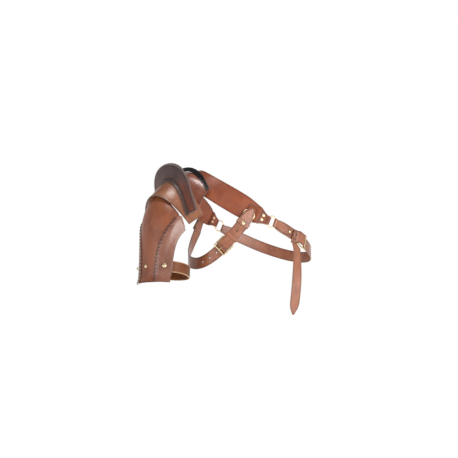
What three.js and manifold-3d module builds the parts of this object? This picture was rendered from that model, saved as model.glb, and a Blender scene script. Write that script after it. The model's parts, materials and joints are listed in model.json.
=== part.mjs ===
import * as THREE from 'three';
import { mergeVertices } from 'three/addons/utils/BufferGeometryUtils.js';
import Module from 'manifold-3d';

// A leather shoulder armour for the right shoulder, with its chest harness, laid as it is worn.
// Millimetres, +Z up. The wearer faces -Y and the wearer's right is -X.
// The origin is the seat on top of the right shoulder, under the wide panel.

const wasm = await Module();
wasm.setup();
const { Manifold, Mesh: SolidMesh } = wasm;

// Leather walls and the clearance between pieces that lie on each other
const STRAP_WALL = 2.2;
const PANEL_WALL = 3;
const PLATE_WALL = 3;
const LAME_WALL = 3;
const FLANGE_WALL = 4.6;
const KEEPER_WALL = 1.4;
const GAP = 0.4;

// Straps
const STRAP_WIDTH = 32;
const ARM_STRAP_WIDTH = 30;
const TONGUE_WIDTH = 24;
const RING_STRAP_WIDTH = 22;
const RING_TAPER = 16;
const TIP_LENGTH = 20;
const HOLE_RADIUS = 2;
const STRAP_STEP = 16;

// Brass
const RING_OUTER = 36;
const RING_WIRE = 3.4;
const BUCKLE_LENGTH = 40;
const BUCKLE_WIDTH = 42;
const BUCKLE_BAR = 4;
const BUCKLE_THICK = 3;
const BUCKLE_CORNER = 2.5;
const PRONG_WIDTH = 2.8;
const PRONG_WALL = 1.6;
const RIVET_RADIUS = 5.4;
const RIVET_RISE = 3;
const ARM_RIVET_RADIUS = 6;
const SHANK_RADIUS = 2;
const WASHER_RADIUS = 4;
const WASHER_THICK = 1;

// The body that the harness is laid round, in a frame whose origin is between the shoulders
const CHEST_HALF_WIDTH = 191;
const CHEST_HALF_DEPTH = 131;
const CHEST_HALF_HEIGHT = 290;
const CHEST_CENTRE = -200;
const YOKE_HALF_SPAN = 165;
const YOKE_HEIGHT = -52;
const YOKE_RADIUS = 58;
const SLOPE_HALF_SPAN = 120;
const SLOPE_HEIGHT = -18;
const SLOPE_RADIUS = 60;
const SHOULDER_BACKSET = 12;
const BLEND = 55;
const LIE = 0.6; // from the body to the leather on it

// Where the harness runs: each loop lies in a plane along Y through two points given by x and z
const RING_X = -21;
const RING_Z = -100;
const PANEL_TOP_X = -175;
const PANEL_TOP_Z = 25;
const PANEL_BEND = 0.44;
const SIDE_RING_X = -87;
const SIDE_RING_Z = -87;
const ARMPIT_X = -191;
const ARMPIT_Z = -207;
const RIGHT_BEND = 0.35;
const LEFT_SIDE_X = 190;
const LEFT_SIDE_Z = -190;
const BEND_ROUND = 20;
const WAY_CENTRE = 60;

// Wide panel: its width along the way from the chest ring to the shoulder
const PANEL_WIDTH = 66;
const PANEL_TAPER = 88;
const PANEL_COLUMNS = 4;
const PANEL_FOLD = 22;
const PANEL_RIVET_INSET = 15;
const PANEL_RIVET_PITCH = 13;
const PANEL_CLEAR = 16; // from a side ring to past the panel's edge
const TAB_LENGTH = 16;

// Right strap: distances along it from the centre of its ring
const RIGHT_BUCKLE_AT = 106;
const RIGHT_TIP_OVER = 21;
const RIGHT_HOLE_AT = 54;
const RIGHT_HOLES_FROM = 10;
const RIGHT_HOLE_PITCH = 24;
const REAR_FOLD = 34;
const RIGHT_KEEPER_AT = 74;
const RIVET_KEEPER_AT = 28;
const KEEPER_LENGTH = 12;
const KEEPER_FOOT = 7;
const CHAPE_LINING = 34;
const CHAPE_RETURN = 28;

// Left strap: distances along it from the centre of the chest ring
const LEFT_BUCKLE_AT = 125;
const TONGUE_END_AT = 78;
const TONGUE_RIVET_INSET = 11;
const HEEL_FOLD = 18;
const FOLD_END_AT = 82;
const FOLD_SPREAD = 0.25;
const FOLD_DROP = 7;
const FOLD_HOLE_AT = 91;
const TAIL_AT = 104;
const TAIL_INSET = 13;
const TAIL_TOP_AT = 87;
const TAIL_TOP_WIDTH = 18;
const TAIL_DROP = 198;
const TAIL_TURN = 20;
const TAIL_LEAN = 14;
const TAIL_BOW = 4;

// Shoulder frame of the lames: its place on the body and its turn to the front
const SHOULDER_X = -189;
const SHOULDER_Y = 23.5;
const SHOULDER_Z = -22;
const SHOULDER_TURN = 14;

// Lames: arches over the shoulder. out is along the arm's side, span to the front and to the rear.
const LOWER_LAME_OUTER = { out: 133, top: -17.8, span: 80, drop: 76.6, sweep: 47, round: 0.7 };
const LOWER_LAME_INNER = { out: 62, top: 40, span: 76.5, drop: 101.6, sweep: 36, round: 0.7 };
const LIP_OUT = 4;
const LIP_SHARE = 0.14;
const UPPER_LAME_OUTER = { out: 72, top: 15, span: 45, drop: 92, sweep: 36, round: 0.5 };
const UPPER_LAME_INNER = { out: 7, top: 60.5, span: 90, drop: 52, sweep: -5, round: 0.5 };
const LAME_SWELL = 6;
const UPPER_LAME_SWELL = 9;
const LAME_STEPS = 22;
const LAME_COLUMNS = 5;
const FACET_ROOM = 0.3; // for the flat faces of two curved pieces that lie on each other

// Tall flange on the lower lame, and the low one on the upper lame
const FLANGE_FOOT_WIDTH = 13;
const FLANGE_FOOT_WALL = 3;
const FLANGE_SHARE = 0.2;
const FLANGE_END_SHARE = 0.75;
const FLANGE_REAR_SHARE = 0.12;
const FLANGE_REAR_HEIGHT = 20;
const FLANGE_REACH = 0.9;
const FLANGE_HEIGHT = 47;
const FLANGE_SIDE_HEIGHT = 36;
const LOW_FLANGE_FOOT = 6;
const LOW_FLANGE_HEIGHT = 12;
const LOW_FLANGE_END_HEIGHT = 3;

// Arm plate: its place, its tilt from upright, and its form round the arm
const ARM_X = -261;
const ARM_Y = 5;
const ARM_Z = -126;
const ARM_TILT_OUT = 6;
const ARM_TILT_FRONT = 3;
const ARM_RADIUS = 78;
const DOME_HEIGHT = 118;
const DOME_SIDE_HEIGHT = 98;
const PLATE_TOP = 86;
const PLATE_BOTTOM = -154;
const PLATE_FLARE = 4;
const FLARE_HEIGHT = 14;
const SEAM_ANGLE_BOTTOM = 20;
const SEAM_ANGLE_TOP = 59;
const EDGE_ANGLE_BOTTOM = 49.5;
const EDGE_ANGLE_CORNER = 77;
const EDGE_ANGLE_TOP = 67;
const CORNER_HEIGHT = -10;
const SEAM_LAP = 12;
const PLATE_ROWS = 18;
const SIDE_TOP = 24;
const SEAM_CURVE = 3.2;
const EDGE_CURVE = 6;
const EDGE_LINEAR = 0.35;
const TOP_HALF_ANGLE = 28;
const ARM_STRAP_HEIGHT = -113;
const ARM_STRAP_RISE = 4;
const ARM_STRAP_INSET = 20;
const ARM_STRAP_STEPS = 36;
const ARM_RIVET_ANGLE = 41;
const ARM_RIVET_TURN = -3;

// Hanger
const HANGER_WIDTH = 28;
const HANGER_WALL = 2;
const HANGER_FROM = 14;
const HANGER_LAP = 24;
const HANGER_STEPS = 21;

const COLOURS = {
  strap: 0xaa6e55,
  panel: 0x9b5c44,
  plate: 0x96563e,
  sidePlate: 0xa8685a,
  armStrap: 0x965528,
  lowerLame: 0xaf785a,
  upperLame: 0xa56e5f,
  flange: 0x5f4640,
  lowFlange: 0x1c1614,
  brass: 0xc9a869,
};

const pauldron = new THREE.Group();
const radians = THREE.MathUtils.degToRad;
const { clamp, lerp, smoothstep } = THREE.MathUtils;

const vec = (x, y, z) => new THREE.Vector3(x, y, z);

function leatherMaterial(colour) {
  return new THREE.MeshStandardMaterial({ color: colour, roughness: 0.55, metalness: 0 });
}

function brassMaterial() {
  return new THREE.MeshStandardMaterial({ color: COLOURS.brass, roughness: 0.3, metalness: 1 });
}

function addPiece(parent, name, geometry, material) {
  const mesh = new THREE.Mesh(geometry, material);
  mesh.name = name;
  parent.add(mesh);
  return mesh;
}

// Solids

function toSolid(geometry) {
  const merged = mergeVertices(bareCopy(geometry), 1e-4);
  return new Manifold(
    new SolidMesh({
      numProp: 3,
      vertProperties: merged.attributes.position.array,
      triVerts: new Uint32Array(merged.index.array),
    }),
  );
}

function fromSolid(solid) {
  const mesh = solid.getMesh();
  const geometry = new THREE.BufferGeometry();
  geometry.setAttribute('position', new THREE.BufferAttribute(mesh.vertProperties, 3));
  geometry.setIndex(new THREE.BufferAttribute(mesh.triVerts, 1));
  geometry.computeVertexNormals();
  return geometry;
}

function cut(geometry, tools) {
  let solid = toSolid(geometry);
  for (const tool of tools) solid = solid.subtract(toSolid(tool));
  return fromSolid(solid);
}

function join(first, second) {
  return fromSolid(toSolid(first).add(toSolid(second)));
}

// A closed skin over a grid of inner points and one of outer points; wrap closes it along u
function shell(inner, outer, wrap = false) {
  const rows = inner.length;
  const columns = inner[0].length;
  const positions = [];
  const index = [];
  for (const grid of [inner, outer]) {
    for (const row of grid) {
      for (const p of row) positions.push(p.x, p.y, p.z);
    }
  }
  const at = (layer, i, j) => layer * rows * columns + (i % rows) * columns + j;
  const quad = (a, b, c, d) => index.push(a, b, c, a, c, d);
  const spans = wrap ? rows : rows - 1;
  for (let i = 0; i < spans; i++) {
    for (let j = 0; j < columns - 1; j++) {
      quad(at(0, i, j), at(0, i + 1, j), at(0, i + 1, j + 1), at(0, i, j + 1));
      quad(at(1, i, j), at(1, i, j + 1), at(1, i + 1, j + 1), at(1, i + 1, j));
    }
    quad(at(0, i, 0), at(1, i, 0), at(1, i + 1, 0), at(0, i + 1, 0));
    const last = columns - 1;
    quad(at(0, i, last), at(0, i + 1, last), at(1, i + 1, last), at(1, i, last));
  }
  for (let j = 0; j < columns - 1 && !wrap; j++) {
    quad(at(0, 0, j), at(0, 0, j + 1), at(1, 0, j + 1), at(1, 0, j));
    const end = rows - 1;
    quad(at(0, end, j), at(1, end, j), at(1, end, j + 1), at(0, end, j + 1));
  }
  const geometry = new THREE.BufferGeometry();
  geometry.setAttribute('position', new THREE.Float32BufferAttribute(positions, 3));
  geometry.setIndex(index);
  return outward(geometry);
}

// Turns the faces round where they point in
function outward(geometry) {
  const bare = geometry.index ? geometry : mergeVertices(bareCopy(geometry), 1e-4);
  if (signedVolume(bare) < 0) {
    const index = bare.index.array;
    for (let i = 0; i < index.length; i += 3) [index[i], index[i + 1]] = [index[i + 1], index[i]];
  }
  bare.computeVertexNormals();
  return bare;
}

function bareCopy(geometry) {
  const bare = geometry.clone();
  bare.deleteAttribute('normal');
  bare.deleteAttribute('uv');
  return bare;
}

function signedVolume(geometry) {
  const p = geometry.attributes.position;
  const index = geometry.index.array;
  const [a, b, c] = [vec(0, 0, 0), vec(0, 0, 0), vec(0, 0, 0)];
  let sum = 0;
  for (let i = 0; i < index.length; i += 3) {
    a.fromBufferAttribute(p, index[i]);
    b.fromBufferAttribute(p, index[i + 1]);
    c.fromBufferAttribute(p, index[i + 2]);
    sum += a.dot(b.cross(c));
  }
  return sum;
}

// Leather over a surface: place(u, v) gives the inner face, wall the thickness along its normal
function sheet(rows, columns, wall, place, side = 1) {
  const step = 1e-3;
  const inner = [];
  const outer = [];
  for (let i = 0; i <= rows; i++) {
    const innerRow = [];
    const outerRow = [];
    for (let j = 0; j <= columns; j++) {
      const u = i / rows;
      const v = j / columns;
      const p = place(u, v);
      const du = place(Math.min(u + step, 1), v).sub(place(Math.max(u - step, 0), v));
      const dv = place(u, Math.min(v + step, 1)).sub(place(u, Math.max(v - step, 0)));
      const normal = du.cross(dv).normalize().multiplyScalar(side * wall);
      innerRow.push(p);
      outerRow.push(p.clone().add(normal));
    }
    inner.push(innerRow);
    outer.push(outerRow);
  }
  return shell(inner, outer);
}

// The body form

function blend(a, b, reach) {
  const h = clamp(0.5 + (0.5 * (b - a)) / reach, 0, 1);
  return lerp(b, a, h) - reach * h * (1 - h);
}

function barDistance(p, halfSpan, height, radius) {
  const along = p.x - clamp(p.x, -halfSpan, halfSpan);
  return Math.hypot(along, p.y - SHOULDER_BACKSET, p.z - height) - radius;
}

function bodyForm(p) {
  const x = p.x / CHEST_HALF_WIDTH;
  const y = p.y / CHEST_HALF_DEPTH;
  const z = (p.z - CHEST_CENTRE) / CHEST_HALF_HEIGHT;
  const chest = (Math.hypot(x, y, z * z) - 1) * CHEST_HALF_DEPTH;
  const yoke = barDistance(p, YOKE_HALF_SPAN, YOKE_HEIGHT, YOKE_RADIUS);
  const slope = barDistance(p, SLOPE_HALF_SPAN, SLOPE_HEIGHT, SLOPE_RADIUS);
  return blend(blend(chest, yoke, BLEND), slope, BLEND);
}

function bodyNormal(p) {
  const d = 0.5;
  const g = vec(
    bodyForm(vec(p.x + d, p.y, p.z)) - bodyForm(vec(p.x - d, p.y, p.z)),
    bodyForm(vec(p.x, p.y + d, p.z)) - bodyForm(vec(p.x, p.y - d, p.z)),
    bodyForm(vec(p.x, p.y, p.z + d)) - bodyForm(vec(p.x, p.y, p.z - d)),
  );
  return g.normalize();
}

// The nearest place on the body, then height above it
function onBody(p, height) {
  const q = p.clone();
  for (let i = 0; i < 6; i++) {
    const n = bodyNormal(q);
    const slope = (bodyForm(q.clone().add(n)) - bodyForm(q.clone().sub(n))) / 2;
    q.addScaledVector(n, -bodyForm(q) / slope);
  }
  return q.addScaledVector(bodyNormal(q), height);
}

// Ways round the body

// A way from the front round to the rear. It lies in a plane along Y through two points given by
// x and z, and bend lowers it with the distance in front of the shoulders and behind them.
function wayRound(from, to, bend) {
  const lift = (p) => bend * (CHEST_HALF_DEPTH - Math.hypot(p.y - SHOULDER_BACKSET, BEND_ROUND));
  const base = vec(from.x, 0, from.z);
  const along = vec(to.x, 0, to.z - bend * CHEST_HALF_DEPTH).sub(base).normalize();
  const centre = base.clone().addScaledVector(along, WAY_CENTRE);
  const reach = (angle) => {
    const ray = along.clone().multiplyScalar(Math.cos(angle));
    ray.y = Math.sin(angle);
    const point = (distance) => {
      const p = centre.clone().addScaledVector(ray, distance);
      p.z += lift(p);
      return p;
    };
    let near = 0;
    let far = 2 * CHEST_HALF_WIDTH;
    for (let i = 0; i < 40; i++) {
      const middle = (near + far) / 2;
      if (bodyForm(point(middle)) < 0) near = middle;
      else far = middle;
    }
    return point(near);
  };
  const count = 180;
  const points = [];
  for (let i = 0; i <= count; i++) points.push(reach(lerp(-Math.PI, Math.PI, i / count)));
  const marks = [0];
  for (let i = 1; i <= count; i++) marks.push(marks[i - 1] + points[i].distanceTo(points[i - 1]));
  // where the way passes the first point, in front (sign -1) or behind (sign 1)
  const passes = (sign) => {
    for (let i = 1; i <= count; i++) {
      const a = points[i - 1].x - from.x;
      const b = points[i].x - from.x;
      if (points[i].y * sign > 0 && a * b <= 0) return lerp(marks[i - 1], marks[i], a / (a - b));
    }
    return 0;
  };
  const zero = passes(-1);
  const spot = (s) => {
    const mark = clamp(s + zero, 0.01, marks[count] - 0.01);
    let i = 1;
    while (marks[i] < mark) i++;
    return points[i - 1].clone().lerp(points[i], (mark - marks[i - 1]) / (marks[i] - marks[i - 1]));
  };
  const frame = (s) => {
    const p = spot(s);
    const t = spot(s + 4).sub(spot(s - 4)).normalize();
    const n = bodyNormal(p);
    n.addScaledVector(t, -n.dot(t)).normalize();
    return { p, t, n, b: t.clone().cross(n) };
  };
  // lay puts a point at s along the way, v to its side and h above the body
  const lay = (s, v, h) => {
    const f = frame(s);
    return onBody(f.p.addScaledVector(f.b, v), h);
  };
  return { length: passes(1) - zero, frame, lay };
}

// A strip of leather along a way: the profile lists its middle as points (s, h), width gives its
// width at each point, shift its place to the side
function strip(way, profile, wall, width, columns = 1, shift = () => 0) {
  const inner = [];
  const outer = [];
  profile.forEach((here, i) => {
    const before = profile[Math.max(i - 1, 0)];
    const after = profile[Math.min(i + 1, profile.length - 1)];
    const run = Math.hypot(after.s - before.s, after.h - before.h);
    const ns = -(after.h - before.h) / run;
    const nh = (after.s - before.s) / run;
    const rows = [inner, outer];
    [-0.5, 0.5].forEach((half, k) => {
      const row = [];
      for (let j = 0; j <= columns; j++) {
        const v = (j / columns - 0.5) * width(i) + shift(i);
        row.push(way.lay(here.s + ns * wall * half, v, here.h + nh * wall * half));
      }
      rows[k].push(row);
    });
  });
  return shell(inner, outer);
}

// Points from s to s at one height, one each step
function run(from, to, height, step = STRAP_STEP) {
  const count = Math.max(1, Math.round(Math.abs(to - from) / step));
  const points = [];
  for (let i = 0; i <= count; i++) points.push({ s: lerp(from, to, i / count), h: height });
  return points;
}

// Points through keys [s, h], the height changing smoothly from key to key
function keyed(keys, step = STRAP_STEP) {
  const points = [{ s: keys[0][0], h: keys[0][1] }];
  for (let k = 1; k < keys.length; k++) {
    const [s0, h0] = keys[k - 1];
    const [s1, h1] = keys[k];
    const most = h0 === h1 ? step : step / 3;
    const count = Math.max(1, Math.round(Math.abs(s1 - s0) / most));
    for (let i = 1; i <= count; i++) {
      const share = i / count;
      points.push({ s: lerp(s0, s1, share), h: lerp(h0, h1, smoothstep(share, 0, 1)) });
    }
  }
  return points;
}

// A turn round a bar: centre (s, h), from one angle to another
function turn(s, h, radius, from, to, count = 6) {
  const points = [];
  for (let i = 0; i <= count; i++) {
    const angle = radians(lerp(from, to, i / count));
    points.push({ s: s + radius * Math.cos(angle), h: h + radius * Math.sin(angle) });
  }
  return points;
}

function pin(radius, length, at, axis) {
  const geometry = new THREE.CylinderGeometry(radius, radius, length, 10);
  const q = new THREE.Quaternion().setFromUnitVectors(vec(0, 1, 0), axis.clone().normalize());
  geometry.applyQuaternion(q);
  geometry.translate(at.x, at.y, at.z);
  return geometry;
}

// A rivet along +Z from the top face of what it holds: dome, shank and washer in one
function rivetGeometry(radius, grip) {
  const profile = [];
  const under = -grip - GAP;
  profile.push(new THREE.Vector2(0, under - WASHER_THICK));
  profile.push(new THREE.Vector2(WASHER_RADIUS, under - WASHER_THICK));
  profile.push(new THREE.Vector2(WASHER_RADIUS, under));
  profile.push(new THREE.Vector2(SHANK_RADIUS, under));
  profile.push(new THREE.Vector2(SHANK_RADIUS, GAP));
  profile.push(new THREE.Vector2(radius, GAP));
  const steps = 2;
  for (let i = 0; i <= steps; i++) {
    const angle = (i / steps) * (Math.PI / 2);
    profile.push(
      new THREE.Vector2(radius * Math.cos(angle), GAP + 0.6 + (RIVET_RISE - 0.6) * Math.sin(angle)),
    );
  }
  profile[profile.length - 1].x = 0;
  const geometry = new THREE.LatheGeometry(profile, 10);
  geometry.rotateX(Math.PI / 2);
  return geometry;
}

function addRivet(parent, name, radius, grip, at, axis) {
  const rivet = addPiece(parent, name, rivetGeometry(radius, grip), brassMaterial());
  rivet.position.copy(at);
  rivet.quaternion.setFromUnitVectors(vec(0, 0, 1), axis.clone().normalize());
  return rivet;
}

// The hole for a shank, through so much leather under the rivet's seat
function shankHole(seat, axis, through) {
  const reach = through + 4 * GAP;
  const middle = seat.clone().addScaledVector(axis, -reach / 2 + 2 * GAP);
  return pin(SHANK_RADIUS + GAP, reach + 4 * GAP, middle, axis);
}

// A square frame held by its heel bar at one place and lying with its front bar on another
function addBuckle(name, way, heel, height) {
  const outline = new THREE.Shape();
  const x = BUCKLE_LENGTH / 2;
  const y = BUCKLE_WIDTH / 2;
  const c = BUCKLE_CORNER;
  outline.moveTo(-x + c, -y);
  for (const [px, py] of [
    [x - c, -y],
    [x, -y + c],
    [x, y - c],
    [x - c, y],
    [-x + c, y],
    [-x, y - c],
    [-x, -y + c],
  ]) {
    outline.lineTo(px, py);
  }
  outline.closePath();
  const inside = new THREE.Path();
  const ix = x - BUCKLE_BAR;
  const iy = y - BUCKLE_BAR;
  inside.moveTo(-ix, -iy);
  inside.lineTo(-ix, iy);
  inside.lineTo(ix, iy);
  inside.lineTo(ix, -iy);
  inside.closePath();
  outline.holes.push(inside);
  const frame = new THREE.ExtrudeGeometry(outline, { depth: BUCKLE_THICK, bevelEnabled: false });
  frame.translate(halfBuckle, 0, -BUCKLE_THICK / 2);
  const group = new THREE.Group();
  const start = way.lay(heel, 0, height);
  const along = way.lay(heel + 2 * halfBuckle, 0, height).sub(start).normalize();
  const edge = (v) => way.lay(heel + halfBuckle, v, height);
  const across = edge(STRAP_WIDTH / 2).sub(edge(-STRAP_WIDTH / 2));
  const up = along.clone().cross(across).normalize();
  if (up.dot(way.frame(heel + halfBuckle).n) < 0) up.negate();
  const basis = new THREE.Matrix4().makeBasis(along, up.clone().cross(along), up);
  group.quaternion.setFromRotationMatrix(basis);
  group.position.copy(start);
  group.updateMatrix();
  pauldron.add(group);
  addPiece(group, `${name}_frame`, frame, brassMaterial());
  addPiece(group, `${name}_prong`, prongGeometry(), brassMaterial());
  return group;
}

// The prong: an eye round the heel bar, at x = 0, and a tongue that lies on the front bar
function prongGeometry() {
  const eye = barRadius + GAP + PRONG_WALL / 2;
  const end = 2 * halfBuckle + BUCKLE_BAR / 2;
  const profile = turn(0, 0, eye, -90, -270);
  profile.push({ s: end - 6, h: eye });
  profile.push({ s: end, h: BUCKLE_THICK / 2 + GAP + PRONG_WALL / 2 });
  const inner = [];
  const outer = [];
  profile.forEach((here, i) => {
    const before = profile[Math.max(i - 1, 0)];
    const after = profile[Math.min(i + 1, profile.length - 1)];
    const length = Math.hypot(after.s - before.s, after.h - before.h);
    const nx = (-(after.h - before.h) / length) * (PRONG_WALL / 2);
    const nz = ((after.s - before.s) / length) * (PRONG_WALL / 2);
    const y = PRONG_WIDTH / 2;
    inner.push([vec(here.s - nx, -y, here.h - nz), vec(here.s - nx, y, here.h - nz)]);
    outer.push([vec(here.s + nx, -y, here.h + nz), vec(here.s + nx, y, here.h + nz)]);
  });
  return shell(inner, outer);
}

// Room for the prong through a billet that crosses it
function prongSlot(group) {
  const eye = barRadius + GAP + PRONG_WALL / 2;
  const slot = new THREE.BoxGeometry(2 * halfBuckle, PRONG_WIDTH + 2 * GAP, PRONG_WALL + 2 * GAP);
  slot.translate(halfBuckle, 0, eye);
  return slot.applyMatrix4(group.matrix);
}

// Room for the prong's eye in the chape's loop round the heel bar
function eyeSlot(group) {
  const eye = barRadius + 2 * GAP + PRONG_WALL;
  const slot = new THREE.BoxGeometry(3 * eye, PRONG_WIDTH + 2 * GAP, 4 * eye);
  slot.translate(eye / 2, 0, 0);
  return slot.applyMatrix4(group.matrix);
}

// Room for the frame's bars in a strap that passes them
function frameSpace(group) {
  const room = (n) => n + 2 * GAP;
  const spaces = [];
  for (const k of [-0.5, 0.5]) {
    const side = new THREE.BoxGeometry(room(BUCKLE_LENGTH), room(BUCKLE_BAR), room(BUCKLE_THICK));
    side.translate(halfBuckle, k * (BUCKLE_WIDTH - BUCKLE_BAR), 0);
    const bar = new THREE.BoxGeometry(room(BUCKLE_BAR), BUCKLE_WIDTH, room(BUCKLE_THICK));
    bar.translate(halfBuckle + 2 * k * halfBuckle, 0, 0);
    spaces.push(side.applyMatrix4(group.matrix), bar.applyMatrix4(group.matrix));
  }
  return spaces;
}

// Ways of the harness
const ringPoint = { x: RING_X, z: RING_Z };
const sideRingPoint = { x: SIDE_RING_X, z: SIDE_RING_Z };
const panelWay = wayRound(ringPoint, { x: PANEL_TOP_X, z: PANEL_TOP_Z }, PANEL_BEND);
const leftWay = wayRound(ringPoint, { x: LEFT_SIDE_X, z: LEFT_SIDE_Z }, 0);
const rightWay = wayRound(sideRingPoint, { x: ARMPIT_X, z: ARMPIT_Z }, RIGHT_BEND);

// Heights of the layers above the body
const panelLow = LIE + PANEL_WALL / 2;
const panelHigh = panelLow + PANEL_WALL + GAP;
const onPanel = LIE + PANEL_WALL + GAP + FACET_ROOM + STRAP_WALL / 2;
const layer = STRAP_WALL + GAP;
const low = LIE + STRAP_WALL / 2;
const loopRadius = RING_WIRE / 2 + GAP + STRAP_WALL / 2;
const panelLoopRadius = RING_WIRE / 2 + GAP + PANEL_WALL / 2;
const barRadius = Math.hypot(BUCKLE_BAR, BUCKLE_THICK) / 2;
const barLoopRadius = barRadius + GAP + STRAP_WALL / 2;
const keeperRoom = KEEPER_WALL + 2 * (GAP + FACET_ROOM);
const ringRadius = (RING_OUTER - RING_WIRE) / 2;
// How far a loop's bend reaches past the wire's middle, for the ring's curve across the strap
const ringSag = (width) => ringRadius - Math.sqrt(ringRadius ** 2 - (width / 2) ** 2);
const strapSag = ringSag(RING_STRAP_WIDTH);
const byRing = (s, width) => {
  return lerp(RING_STRAP_WIDTH, width, smoothstep(s - ringRadius, 2, RING_TAPER));
};
const halfBuckle = (BUCKLE_LENGTH - BUCKLE_BAR) / 2;

// Wide panel over the shoulder: each end goes round its ring and back under itself
function panelWidth(s) {
  const inside = Math.min(s, panelWay.length - s) - ringRadius;
  const share = Math.sin(clamp(inside / PANEL_TAPER, 0, 1) * (Math.PI / 2));
  return byRing(inside + ringRadius, lerp(STRAP_WIDTH, PANEL_WIDTH, share));
}

// Rings, each held at two places
const panelRingHeight = panelLow + panelLoopRadius;
const sideRingHeight = onPanel + loopRadius;
const leftRingHeight = low + loopRadius;
const leftEnd = leftWay.length;
const rightEnd = rightWay.length;
const rings = {
  ring_front: [
    panelWay.lay(ringRadius, 0, panelRingHeight),
    leftWay.lay(ringRadius, 0, leftRingHeight),
  ],
  ring_rear: [
    panelWay.lay(panelWay.length - ringRadius, 0, panelRingHeight),
    leftWay.lay(leftEnd - ringRadius, 0, leftRingHeight),
  ],
  ring_side_front: [
    rightWay.lay(-ringRadius, 0, sideRingHeight),
    rightWay.lay(ringRadius, 0, sideRingHeight),
  ],
  ring_side_rear: [
    rightWay.lay(rightEnd + ringRadius, 0, sideRingHeight),
    rightWay.lay(rightEnd - ringRadius, 0, sideRingHeight),
  ],
};
function ringGeometry([first, second], wire) {
  const x = second.clone().sub(first).normalize();
  const centre = first.clone().add(second).multiplyScalar(0.5);
  const z = bodyNormal(centre);
  z.addScaledVector(x, -z.dot(x)).normalize();
  const basis = new THREE.Matrix4().makeBasis(x, z.clone().cross(x), z).setPosition(centre);
  return new THREE.TorusGeometry(ringRadius, wire, 7, 22).applyMatrix4(basis);
}
const ringSpaces = (...names) => names.map((n) => ringGeometry(rings[n], RING_WIRE / 2 + GAP));

const mirrored = (points) => points.map((p) => ({ s: panelWay.length - p.s, h: p.h })).reverse();
const panelEnd = [
  ...keyed([
    [ringRadius + PANEL_FOLD, panelLow],
    [ringRadius - strapSag, panelLow],
  ]),
  ...turn(ringRadius - strapSag, panelLow + panelLoopRadius, panelLoopRadius, -90, -270).slice(1),
  ...keyed([
    [ringRadius + 1, panelLow + 2 * panelLoopRadius],
    [ringRadius + 7, panelHigh],
    [ringRadius + PANEL_FOLD + 3, panelHigh],
    [ringRadius + PANEL_FOLD + 20, panelLow],
  ]).slice(1),
];
const panelFrom = panelEnd[panelEnd.length - 1].s;
const panelProfile = [
  ...panelEnd,
  ...run(panelFrom, panelWay.length - panelFrom, panelLow, 11).slice(1, -1),
  ...mirrored(panelEnd),
];
let panelGeometry = strip(
  panelWay,
  panelProfile,
  PANEL_WALL,
  (i) => panelWidth(panelProfile[i].s),
  PANEL_COLUMNS,
);
const panelRivets = [];
for (const end of ['front', 'rear']) {
  for (const [k, side] of ['low', 'high'].entries()) {
    const s = ringRadius + PANEL_RIVET_INSET;
    const at = end === 'front' ? s : panelWay.length - s;
    const v = (k - 0.5) * PANEL_RIVET_PITCH;
    const seat = panelWay.lay(at, v, panelHigh + PANEL_WALL / 2);
    panelRivets.push({ name: `panel_rivet_${end}_${side}`, seat, axis: bodyNormal(seat) });
  }
}
panelGeometry = cut(panelGeometry, [
  ...panelRivets.map((r) => shankHole(r.seat, r.axis, 2 * PANEL_WALL)),
  ...ringSpaces('ring_front', 'ring_rear'),
]);
addPiece(pauldron, 'shoulder_panel', panelGeometry, leatherMaterial(COLOURS.panel));
for (const r of panelRivets) {
  addRivet(pauldron, r.name, RIVET_RADIUS, 2 * PANEL_WALL + GAP, r.seat, r.axis);
}

for (const [name, ring] of Object.entries(rings)) {
  addPiece(pauldron, name, ringGeometry(ring, RING_WIRE / 2), brassMaterial());
}

// Tabs that hold the side rings on the panel
const tabProfile = [
  ...keyed([
    [-ringRadius - TAB_LENGTH, onPanel],
    [-ringRadius + strapSag, onPanel],
  ]),
  ...turn(-ringRadius + strapSag, sideRingHeight, loopRadius, -90, 90).slice(1),
  ...keyed([
    [-ringRadius - 1, sideRingHeight + loopRadius],
    [-ringRadius - 9, onPanel + layer],
    [-ringRadius - TAB_LENGTH + 4, onPanel + layer],
  ]).slice(1),
];
const atRear = (points) => points.map((p) => ({ s: rightEnd - p.s, h: p.h }));
const tabWidth = () => RING_STRAP_WIDTH;
for (const [name, ring, profile] of [
  ['side_tab_front', 'ring_side_front', tabProfile],
  ['side_tab_rear', 'ring_side_rear', atRear(tabProfile)],
]) {
  const geometry = cut(strip(rightWay, profile, STRAP_WALL, tabWidth), ringSpaces(ring));
  addPiece(pauldron, name, geometry, leatherMaterial(COLOURS.panel));
}

// Right chape: round the ring, up to the buckle's heel bar, round it and back under
const chapeTop = low + keeperRoom + layer;
const panelClear = ringRadius + PANEL_CLEAR;
const rightHeel = RIGHT_BUCKLE_AT - halfBuckle;
const heelHeight = low + barLoopRadius;
const rightChape = [
  ...keyed([
    [rightHeel - CHAPE_LINING, low],
    [panelClear + 14, low],
    [panelClear, onPanel],
    [ringRadius - strapSag, onPanel],
  ]),
  ...turn(ringRadius - strapSag, sideRingHeight, loopRadius, -90, -270).slice(1),
  ...keyed([
    [ringRadius + 1, sideRingHeight + loopRadius],
    [ringRadius + 6, onPanel + keeperRoom + layer],
    [panelClear, onPanel + keeperRoom + layer],
    [panelClear + 16, chapeTop],
    [rightHeel - 7, chapeTop],
    [rightHeel, heelHeight + barLoopRadius],
  ]).slice(1),
  ...turn(rightHeel, heelHeight, barLoopRadius, 90, -90).slice(1),
  ...keyed([
    [rightHeel - 1, low],
    [rightHeel - CHAPE_RETURN, low],
  ]).slice(1),
];
const rightBuckle = addBuckle('right_buckle', rightWay, rightHeel, heelHeight);
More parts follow.
